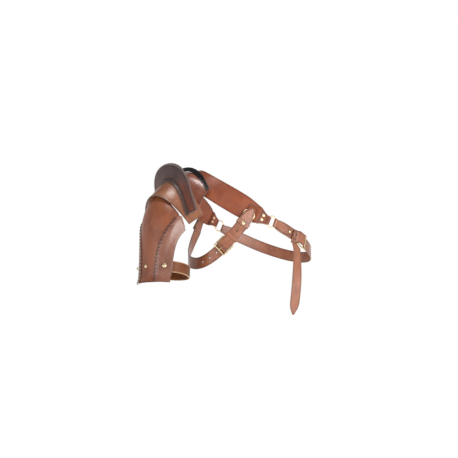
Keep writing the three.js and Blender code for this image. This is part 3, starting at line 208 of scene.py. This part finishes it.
def leather(
    name, base, dark, light, cut, rough, coat, wear,
    shine=0.5, line=None, rim_highlight=None, low=None, foot=None, border=None,
):
    """Waxed vegetable-tanned leather: mottled colour, pores, soft wrinkles, worn edges, and a dark band
    along the outlines that is burnished dye and painted edge shade.

    base, dark and light are the surface's colours, and cut is that of the cut edges. line is the place
    and half width of a tooled line beside the edge, and the rim colour is a painted highlight from there
    to the edge.
    The low colour is the leather's own and takes over below one height and is gone above another; above it
    the base shows, which on the flange is a painted sheen. foot is the colour of a strip that lies on the
    piece below, up to a distance from it, with a painted shade line in the crease above it. border is the
    colour beside the edges where they aren't burnished and shaded dark."""
    material, tree, shader = new_material(name)
    net = Net(tree)
    cloud = net.noise(CLOUDS, 5, 0.6, warp=0.4)
    patch = net.noise(PATCHES, 5, 0.62, warp=0.3)
    speck = net.noise(SPECKS, 4, 0.7)
    scuff = net.noise(SCUFFS, 6, 0.75, stretch=(1.0, 1.0, 0.35), warp=0.2)
    edge = net.attribute("edge_distance")
    cut_face = net.attribute("cut_face")
    hole = net.attribute("hole_distance")

    ground = base
    # Below a height the low colour takes over; it is the leather's own red-brown, and the base above it on
    # the flange is a grey that stands in as a painted sheen of overhead light
    if low:
        tint, from_z, to_z = low
        split = tree.nodes.new("ShaderNodeSeparateXYZ")
        tree.links.new(net.coords, split.inputs[0])
        sway = net.math("MULTIPLY_ADD", cloud, 0.02, split.outputs["Z"])
        ground = net.mix(net.span(sway, from_z, to_z), tint, base)
    colour = net.mix(net.span(cloud, 0.3, 0.6, 0.25, 1), dark, ground)
    colour = net.mix(net.span(patch, 0.52, 0.8, 0, 0.55), colour, light)
    colour = net.mix(net.span(patch, 0.42, 0.24, 0, 0.45), colour, dark)
    colour = net.mix(net.span(speck, 0.6, 0.8, 0, 0.3), colour, tuple(0.5 * c for c in dark))
    scuffed = net.math("MULTIPLY", net.span(scuff, 0.62, 0.8), 0.3 * wear)
    colour = net.mix(scuffed, colour, tuple(min(1.0, 1.25 * c) for c in light))

    ragged = net.math("MULTIPLY_ADD", patch, RAGGED, -RAGGED / 2)
    near = net.math("ADD", edge, ragged)
    # Dark band along the outlines: burnished dye, with painted shade at the edges
    burnish_and_shade = net.span(near, *BURNISH_AND_SHADE, 0, 0.5)
    colour = net.mix(burnish_and_shade, colour, border or tuple(0.38 * c for c in dark))
    colour = net.mix(net.span(hole, *HOLE_SHADE, 0, 0.85), colour, tuple(0.2 * c for c in dark))
    groove = None
    if line:
        middle, half = line
        off = net.math("ABSOLUTE", net.math("SUBTRACT", net.attribute("line_distance"), middle))
        groove = net.span(off, half, half * 0.35)
        # Painted highlight: a lighter rim colour between the tooled line and the edge, where light catches
        # the rim
        if rim_highlight:
            rim_highlight_band = net.span(net.attribute("line_distance"), middle, middle - half, 0, 0.6)
            colour = net.mix(rim_highlight_band, colour, rim_highlight)
        colour = net.mix(net.math("MULTIPLY", groove, 0.82), colour, tuple(0.22 * c for c in dark))
    if foot:
        tint, top = foot
        rise = net.attribute("rise")
        strip = net.mix(net.span(patch, 0.4, 0.7), tint, light)
        colour = net.mix(net.span(rise, top + 0.0008, top - 0.0008), colour, strip)
        # Painted shade: a dark line in the crease where the flange rises from its foot
        corner = net.math("ABSOLUTE", net.math("SUBTRACT", rise, top + 0.001))
        colour = net.mix(net.span(corner, 0.0024, 0.0006, 0, 0.9), colour, tuple(0.2 * c for c in dark))
    rubbed = net.math("MULTIPLY", net.span(edge, *RUBBED), net.span(scuff, 0.46, 0.62))
    colour = net.mix(net.math("MULTIPLY", rubbed, 0.6 * wear), colour, light)
    fibres = net.mix(net.span(patch, 0.35, 0.65), tuple(0.75 * c for c in cut), cut)
    colour = net.mix(cut_face, colour, fibres)
    tree.links.new(colour, shader.inputs["Base Color"])

    dull = net.math("MULTIPLY_ADD", patch, 0.26, rough - 0.13)
    dull = net.math("ADD", dull, net.math("MULTIPLY", net.span(scuff, 0.55, 0.8), 0.2))
    dull = net.math("ADD", dull, net.math("MULTIPLY", cut_face, 0.25))
    tree.links.new(net.math("MINIMUM", dull, 0.95), shader.inputs["Roughness"])

    pores = net.span(net.cells(PORES), 0.05, 0.5)
    wrinkle = net.noise(WRINKLES, 5, 0.65, stretch=(1.0, 1.0, 0.5), warp=0.4)
    lumps = net.noise(LUMPS, 3, 0.5)
    normal = net.bump(pores, 0.25, 0.00012)
    normal = net.bump(wrinkle, 0.4, 0.00035, normal)
    normal = net.bump(lumps, 0.5, 0.0016, normal)
    if groove is not None:
        normal = net.bump(groove, 0.9, -0.0006, normal)
    tree.links.new(normal, shader.inputs["Normal"])
    shader.inputs["Specular IOR Level"].default_value = shine
    shader.inputs["Coat Weight"].default_value = coat
    shader.inputs["Coat Roughness"].default_value = 0.28
    shader.inputs["Coat IOR"].default_value = 1.45
    return material


def brass(name):
    """Worn brass, tarnished in patches and finely scratched."""
    material, tree, shader = new_material(name)
    net = Net(tree)
    patch = net.noise(230, 5, 0.65, warp=0.6)
    fine = net.noise(1500, 3, 0.6, stretch=(1.0, 1.0, 0.2))
    colour = net.mix(net.span(patch, 0.34, 0.6), (0.4, 0.27, 0.12), (0.78, 0.62, 0.4))
    colour = net.mix(net.span(patch, 0.6, 0.78, 0, 0.6), colour, (0.93, 0.83, 0.66))
    tree.links.new(colour, shader.inputs["Base Color"])
    shader.inputs["Metallic"].default_value = 1.0
    rough = net.math("MULTIPLY_ADD", patch, -0.22, 0.4)
    tree.links.new(net.math("ADD", rough, net.math("MULTIPLY", fine, 0.08)), shader.inputs["Roughness"])
    normal = net.bump(fine, 0.15, 0.00005)
    tree.links.new(net.bump(patch, 0.25, 0.0003, normal), shader.inputs["Normal"])
    return material


def thread(name):
    """Black waxed thread."""
    material, tree, shader = new_material(name)
    net = Net(tree)
    twist = net.noise(1400, 3, 0.6, stretch=(1.0, 0.3, 1.0))
    colour = net.mix(net.span(twist, 0.35, 0.7), (0.004, 0.0035, 0.003), (0.03, 0.024, 0.02))
    tree.links.new(colour, shader.inputs["Base Color"])
    shader.inputs["Roughness"].default_value = 0.6
    tree.links.new(net.bump(twist, 0.6, 0.0002), shader.inputs["Normal"])
    return material


# Colours are linear red, green, blue. Lengths are in metres.
LEATHERS = {
    "strap_leather": {
        "base": (0.25, 0.084, 0.038), "dark": (0.145, 0.043, 0.02), "light": (0.35, 0.138, 0.08),
        "cut": (0.28, 0.14, 0.075), "rough": 0.36, "coat": 0.25, "line": (0.0027, 0.0005),
        "wear": 0.5,
    },
    "panel_leather": {
        "base": (0.21, 0.048, 0.016), "dark": (0.13, 0.029, 0.01), "light": (0.28, 0.08, 0.034),
        "cut": (0.42, 0.25, 0.15), "rough": 0.46, "coat": 0.05, "shine": 0.35,
        "line": (0.0034, 0.0005), "wear": 0.5,
    },
    "plate_leather": {
        "base": (0.205, 0.062, 0.026), "dark": (0.118, 0.031, 0.014), "light": (0.28, 0.098, 0.048),
        "cut": (0.46, 0.31, 0.2), "rough": 0.4, "coat": 0.12, "shine": 0.4,
        "line": (0.0032, 0.0005), "wear": 0.4,
    },
    # The side panels' pinkish tone is partly the leather's own and partly a painted sheen
    "side_leather": {
        "base": (0.185, 0.07, 0.043), "dark": (0.115, 0.038, 0.022), "light": (0.28, 0.14, 0.105),
        "cut": (0.32, 0.18, 0.11), "rough": 0.31, "coat": 0.45, "wear": 0.6,
    },
    "arm_strap_leather": {
        "base": (0.135, 0.036, 0.007), "dark": (0.08, 0.019, 0.004), "light": (0.2, 0.062, 0.014),
        "cut": (0.55, 0.38, 0.23), "rough": 0.5, "coat": 0.0, "shine": 0.3,
        "border": (0.62, 0.42, 0.24), "wear": 0.5,
    },
    # The lower lame's dark cut colour is partly burnished dye and partly painted shade along its lower
    # edge over the plate
    "lower_lame_leather": {
        "base": (0.24, 0.096, 0.048), "dark": (0.155, 0.053, 0.026), "light": (0.34, 0.155, 0.09),
        "cut": (0.09, 0.04, 0.02), "rough": 0.32, "coat": 0.35, "line": (0.0034, 0.0005),
        "wear": 0.4,
    },
    "upper_lame_leather": {
        "base": (0.235, 0.082, 0.052), "dark": (0.15, 0.045, 0.028), "light": (0.33, 0.15, 0.105),
        "cut": (0.11, 0.045, 0.03), "rough": 0.29, "coat": 0.36, "line": (0.0034, 0.0005),
        "wear": 0.35,
    },
    # The flange's grey base is a painted sheen of overhead light on its upper face; the low colour below
    # is the leather's own red-brown
    "flange_leather": {
        "base": (0.06, 0.034, 0.033), "dark": (0.028, 0.015, 0.014), "light": (0.1, 0.058, 0.055),
        "cut": (0.11, 0.085, 0.08), "rough": 0.36, "coat": 0.15, "shine": 0.35,
        "line": (0.0052, 0.0016), "low": ((0.15, 0.03, 0.011), -0.045, 0.02),
        # The rim colour is a painted highlight on the flange's rim
        "foot": ((0.12, 0.06, 0.044), 0.0042), "rim_highlight": (0.15, 0.105, 0.095), "wear": 0.3,
    },
    "dark_leather": {
        "base": (0.009, 0.006, 0.005), "dark": (0.004, 0.003, 0.003), "light": (0.016, 0.011, 0.01),
        "cut": (0.011, 0.008, 0.007), "rough": 0.5, "coat": 0.05, "shine": 0.3, "wear": 0.1,
    },
}
MATERIALS = {name: leather(name, **look) for name, look in LEATHERS.items()}
MATERIALS["brass"] = brass("brass")
THREAD = thread("waxed_thread")
# The piece that the flange's foot lies on
CARRIED = {"flange_tall": "lame_lower"}
# The nodes with a tooled line beside their edges
LINED = (
    "right_billet", "left_billet", "shoulder_panel", "arm_plate_centre", "lame_lower", "lame_upper",
    "flange_tall",
)


def tidy_copy(node):
    """A CAD node's mesh as welded quads in a new bmesh, with its sharp edges creased."""
    bm = bmesh.new()
    bm.from_mesh(NODES[node].data)
    bmesh.ops.remove_doubles(bm, verts=bm.verts, dist=WELD)
    bmesh.ops.join_triangles(
        bm,
        faces=bm.faces,
        angle_face_threshold=JOIN_FLATNESS,
        angle_shape_threshold=JOIN_SQUARENESS,
    )
    crease = bm.edges.layers.float.new("crease_edge")
    for edge in bm.edges:
        if edge.calc_face_angle(0) > SHARP_ANGLE:
            edge[crease] = 1.0
    return bm


def mark_cut_faces(bm):
    """Marks the cut edges of a sheet: runs of faces that mostly have much leather behind them."""
    tree = BVHTree.FromBMesh(bm)
    layer = bm.faces.layers.float.new("cut_face")
    left = set(bm.faces)
    while left:
        run = [left.pop()]
        for face in run:
            for edge in face.edges:
                if edge.calc_face_angle(0) < SHARP_ANGLE:
                    fresh = [other for other in edge.link_faces if other in left]
                    left.difference_update(fresh)
                    run += fresh
        whole = deep = 0.0
        for face in run:
            centre = face.calc_center_median()
            behind = tree.ray_cast(centre - face.normal * 1e-5, -face.normal, 0.2)[3]
            whole += face.calc_area()
            if behind is None or behind > THICKEST:
                deep += face.calc_area()
        for face in run:
            face[layer] = 1.0 if deep > 0.5 * whole else 0.0


def sharp_chains(mesh):
    """The sharp edges of a mesh as connected sets of point pairs, each with its length."""
    bm = bmesh.new()
    bm.from_mesh(mesh)
    left = {e for e in bm.edges if e.calc_face_angle(0) > SHARP_ANGLE}
    chains = []
    while left:
        todo = [left.pop()]
        pairs = []
        while todo:
            edge = todo.pop()
            pairs.append((edge.verts[0].co.copy(), edge.verts[1].co.copy()))
            for vert in edge.verts:
                for other in vert.link_edges:
                    if other in left:
                        left.discard(other)
                        todo.append(other)
        chains.append((sum((a - b).length for a, b in pairs), pairs))
    bm.free()
    return chains


def edge_tree(chains):
    """Points along the chains' edges, to measure distances from, or None where there are no edges."""
    points = []
    for _, pairs in chains:
        for a, b in pairs:
            count = max(1, int((a - b).length / TRACE_STEP))
            points += [a.lerp(b, i / count) for i in range(count)]
    tree = KDTree(len(points))
    for i, point in enumerate(points):
        tree.insert(point, i)
    tree.balance()
    return tree if points else None


def distance_layer(mesh, name, tree):
    """How far each point lies from the tree's points, or 1 m where there is no tree."""
    layer = mesh.attributes.new(name, "FLOAT", "POINT")
    found = [tree.find(v.co)[2] if tree else 1.0 for v in mesh.vertices]
    layer.data.foreach_set("value", np.array(found, np.float32))


def rise_layer(mesh, carrier):
    """How far each point stands from the piece that carries it."""
    bm = bmesh.new()
    bm.from_mesh(NODES[carrier].data)
    tree = BVHTree.FromBMesh(bm)
    bm.free()
    layer = mesh.attributes.new("rise", "FLOAT", "POINT")
    found = [tree.find_nearest(v.co)[3] for v in mesh.vertices]
    layer.data.foreach_set("value", np.array(found, np.float32))


def finer_near(mesh, tree):
    """Splits the long edges beside the outline, so that a narrow line beside it comes out even."""
    bm = bmesh.new()
    bm.from_mesh(mesh)
    for _ in range(FINER_ROUNDS):
        near = {v for v in bm.verts if tree.find(v.co)[2] < BAND}
        long = [e for e in bm.edges if e.calc_length() > CELL and not near.isdisjoint(e.verts)]
        if not long:
            break
        bmesh.ops.subdivide_edges(bm, edges=long, cuts=1, use_grid_fill=True)
    bm.to_mesh(mesh)
    bm.free()


def applied(obj):
    """The mesh of obj with its modifiers applied, which are then removed."""
    bpy.context.view_layer.update()
    graph = bpy.context.evaluated_depsgraph_get()
    mesh = bpy.data.meshes.new_from_object(obj.evaluated_get(graph))
    obj.modifiers.clear()
    obj.data = mesh
    return mesh


def place(obj, slot, *nodes):
    """Adds a piece with its finish, in place of the nodes that it stands for."""
    bpy.context.scene.collection.objects.link(obj)
    obj.data.materials.clear()
    obj.data.materials.append(MATERIALS[slot])
    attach(obj, "root")
    if nodes:
        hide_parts(*nodes)


def outlines(chains):
    """The outline's edges and the small holes' edges, each as a tree to measure from."""
    longest = max((c[0] for c in chains), default=0)
    outline = [c for c in chains if c[0] > LONG_SHARE * longest]
    return edge_tree(outline), edge_tree([c for c in chains if c[0] <= HOLE_LOOP])


def refined(node, slot, level=2, width=EDGE_ROUND, segments=2):
    """A finer piece in place of a CAD node: smooth curves, rounded edges and marked outlines."""
    bm = tidy_copy(node)
    is_leather = slot != "brass"
    if is_leather:
        mark_cut_faces(bm)
    mesh = bpy.data.meshes.new(node + "_fine")
    bm.to_mesh(mesh)
    bm.free()
    obj = bpy.data.objects.new(node + "_fine", mesh)
    place(obj, slot, node)
    if level:
        smooth = obj.modifiers.new("smooth", "SUBSURF")
        smooth.levels = smooth.render_levels = level
    mesh = applied(obj)
    if is_leather:
        outline, holes = outlines(sharp_chains(mesh))
        finer_near(mesh, outline)
    bevel = obj.modifiers.new("round", "BEVEL")
    bevel.limit_method = "ANGLE"
    bevel.angle_limit = SHARP_ANGLE
    bevel.width = width
    bevel.segments = segments
    mesh = applied(obj)
    mesh.polygons.foreach_set("use_smooth", np.ones(len(mesh.polygons), bool))
    if is_leather:
        distance_layer(mesh, "edge_distance", outline)
        distance_layer(mesh, "line_distance", outline if node in LINED else None)
        distance_layer(mesh, "hole_distance", holes)
        if node in CARRIED:
            rise_layer(mesh, CARRIED[node])


for part in frame["record"]["subparts"]:
    name, slot = part["node"], part["material_slot"]
    if name.endswith("buckle_frame"):
        refined(name, slot, level=0, width=BUCKLE_ROUND, segments=3)
    else:
        refined(name, slot)


# The arm plate's own frame, for the stitches along its seams
ARM_PLACE = Vector((-0.261, 0.005, -0.126)) + ORIGIN
ARM_TURN = Euler((math.radians(3), math.radians(-6), math.radians(194)), "XYZ").to_matrix()
ARM_RADIUS = 0.078
DOME_HEIGHT = 0.118
DOME_SIDE = 0.098
PLATE_BOTTOM = -0.154
SEAM_TOP = 0.024
PLATE_WALL = 0.003
FLARE = 0.004  # how far the plate's foot turns out, over FLARE_HEIGHT
FLARE_HEIGHT = 0.014
SEAM_BOTTOM_ANGLE = 20
SEAM_TURN = 39
SEAM_BEND = 3.2
SIDE_FACE = 0.0064  # outer face of a side panel where it laps the centre one
PER_DEGREE = math.radians(1) * ARM_RADIUS


def on_arm(angle, height, off):
    """The point off the arm plate at an angle round the arm, in degrees, and a height."""
    up = max(height, 0)
    out_share = math.sqrt(1 - (up / DOME_HEIGHT) ** 2)
    side_share = math.sqrt(1 - (up / DOME_SIDE) ** 2)
    out, side = math.cos(math.radians(angle)), math.sin(math.radians(angle))
    reach_out, reach_side = ARM_RADIUS * out_share, ARM_RADIUS * side_share
    low = min(max((PLATE_BOTTOM + FLARE_HEIGHT - height) / FLARE_HEIGHT, 0), 1)
    flare = FLARE * low * low * (3 - 2 * low)
    reach_out += flare
    reach_side += flare
    steep = up * ARM_RADIUS / DOME_HEIGHT * out_share / DOME_HEIGHT
    normal = Vector((out * reach_side, side * reach_out, steep * side_share * ARM_RADIUS * 2)).normalized()
    return ARM_PLACE + ARM_TURN @ (Vector((out * reach_out, side * reach_side, height)) + normal * off)


def seam_angle(height):
    """How far the seams lie from the plate's middle at a height, in degrees."""
    share = (height - PLATE_BOTTOM) / (SEAM_TOP - PLATE_BOTTOM)
    return SEAM_BOTTOM_ANGLE + SEAM_TURN * share ** SEAM_BEND


def add_tube(bm, path, radius, sides=8):
    """A round thread along path, with closed ends."""
    rings = []
    side = None
    for i, point in enumerate(path):
        ahead = (path[min(i + 1, len(path) - 1)] - path[max(i - 1, 0)]).normalized()
        if side is None:
            side = ahead.orthogonal().normalized()
        side = (side - ahead * side.dot(ahead)).normalized()
        other = ahead.cross(side)
        turns = [2 * math.pi * k / sides for k in range(sides)]
        around = [side * math.cos(t) + other * math.sin(t) for t in turns]
        rings.append([bm.verts.new(point + out * radius) for out in around])
    for a, b in zip(rings, rings[1:]):
        for k in range(sides):
            bm.faces.new((a[k], a[(k + 1) % sides], b[(k + 1) % sides], b[k]))
    bm.faces.new(rings[0][::-1])
    bm.faces.new(rings[-1])


STITCH_PITCH = 0.0095
STITCH_THICK = 0.0009
STITCH_MARGIN = (0.006, 0.004)  # left free at the seam's foot and top
# One stitch, from hole to hole: across the seam, up it, and off the arm's surface
STITCH = (
    (-0.0026, 0.0, PLATE_WALL - 0.0008),
    (-0.0020, 0.0003, PLATE_WALL + 0.0008),
    (-0.0007, 0.0008, SIDE_FACE - 0.0002),
    (0.0008, 0.0013, SIDE_FACE + 0.0006),
    (0.0026, 0.0019, SIDE_FACE + 0.0005),
    (0.0040, 0.0023, SIDE_FACE - 0.0001),
    (0.0044, 0.0024, SIDE_FACE - 0.0014),
)


def stitches(name, sign):
    """Black saddle stitches that lace a side panel's edge down over the centre panel."""
    bm = bmesh.new()
    height = PLATE_BOTTOM + STITCH_MARGIN[0]
    while height < SEAM_TOP - STITCH_MARGIN[1]:
        path = []
        for across, rise, off in STITCH:
            h = height + rise
            angle = sign * (seam_angle(h) + across / PER_DEGREE)
            path.append(on_arm(angle, h, off))
        add_tube(bm, path, STITCH_THICK)
        height += STITCH_PITCH
    mesh = bpy.data.meshes.new(name)
    bm.to_mesh(mesh)
    bm.free()
    mesh.polygons.foreach_set("use_smooth", np.ones(len(mesh.polygons), bool))
    obj = bpy.data.objects.new(name, mesh)
    place(obj, "dark_leather")
    obj.data.materials[0] = THREAD


stitches("seam_stitches_front", 1)
stitches("seam_stitches_rear", -1)


# Floor, light and world
FLOOR_DROP = 0.45
FLOOR_RADIUS = 30
FLOOR_GLOW = 0.75


def make_stage():
    """A plain white floor under the object."""
    bm = bmesh.new()
    bmesh.ops.create_circle(bm, cap_ends=True, segments=96, radius=FLOOR_RADIUS)
    mesh = bpy.data.meshes.new("floor")
    bm.to_mesh(mesh)
    bm.free()
    floor = bpy.data.objects.new("floor", mesh)
    floor.location = (0, 0, CAD_BOX[0].z - FLOOR_DROP)
    bpy.context.scene.collection.objects.link(floor)
    material, tree, shader = new_material("floor")
    shader.inputs["Base Color"].default_value = (0.9, 0.9, 0.9, 1)
    shader.inputs["Roughness"].default_value = 0.85
    shader.inputs["Emission Color"].default_value = (1, 1, 1, 1)
    shader.inputs["Emission Strength"].default_value = FLOOR_GLOW
    mesh.materials.append(material)


def area_light(name, azimuth, elevation, distance, size, power, colour=(1, 1, 1)):
    """A soft light that faces the middle of the object, from angles in degrees and a distance."""
    az, el = math.radians(azimuth), math.radians(elevation)
    back = Vector((math.sin(az) * math.cos(el), -math.cos(az) * math.cos(el), math.sin(el)))
    data = bpy.data.lights.new(name, "AREA")
    data.shape = "RECTANGLE"
    data.size, data.size_y = size
    data.energy = power
    data.color = colour
    light = bpy.data.objects.new(name, data)
    light.location = (CAD_BOX[0] + CAD_BOX[1]) / 2 + back * distance
    light.rotation_mode = "QUATERNION"
    light.rotation_quaternion = (-back).to_track_quat("-Z", "Y")
    bpy.context.scene.collection.objects.link(light)


def make_world():
    """White behind the object, dimmer to the sides and overhead, so that it keeps its light and shade."""
    world = bpy.data.worlds.new("world")
    world.use_nodes = True
    tree = world.node_tree
    coords = tree.nodes.new("ShaderNodeTexCoord")
    split = tree.nodes.new("ShaderNodeSeparateXYZ")
    fade = tree.nodes.new("ShaderNodeMapRange")
    fade.interpolation_type = "SMOOTHSTEP"
    for name, value in (("From Min", 0.3), ("From Max", 0.65), ("To Min", 1.0), ("To Max", 0.2)):
        fade.inputs[name].default_value = value
    tree.links.new(coords.outputs["Generated"], split.inputs[0])
    tree.links.new(split.outputs["Z"], fade.inputs["Value"])
    toward = tree.nodes.new("ShaderNodeVectorMath")
    toward.operation = "DOT_PRODUCT"
    toward.inputs[1].default_value = (-math.sin(AZIMUTH), math.cos(AZIMUTH), 0)
    tree.links.new(coords.outputs["Generated"], toward.inputs[0])
    sides = tree.nodes.new("ShaderNodeMapRange")
    sides.interpolation_type = "SMOOTHSTEP"
    for name, value in (("From Min", 0.7), ("From Max", 0.92), ("To Min", 0.68), ("To Max", 1.0)):
        sides.inputs[name].default_value = value
    tree.links.new(toward.outputs["Value"], sides.inputs["Value"])
    both = tree.nodes.new("ShaderNodeMath")
    both.operation = "MULTIPLY"
    tree.links.new(fade.outputs[0], both.inputs[0])
    tree.links.new(sides.outputs[0], both.inputs[1])
    tree.links.new(both.outputs[0], tree.nodes["Background"].inputs["Strength"])
    tree.nodes["Background"].inputs["Color"].default_value = (1, 1, 1, 1)
    bpy.context.scene.world = world


make_stage()
make_world()
area_light("key", 11, 4, 2.5, (2.3, 1.0), 50, (1.0, 0.985, 0.965))
area_light("overhead", -38, 66, 2.0, (0.6, 0.6), 20)
area_light("side", -82, 0, 2.4, (0.9, 1.0), 12, (0.97, 0.98, 1.0))
area_light("back", 150, 38, 2.4, (1.2, 1.2), 10)
bpy.context.scene.view_settings.view_transform = "Standard"
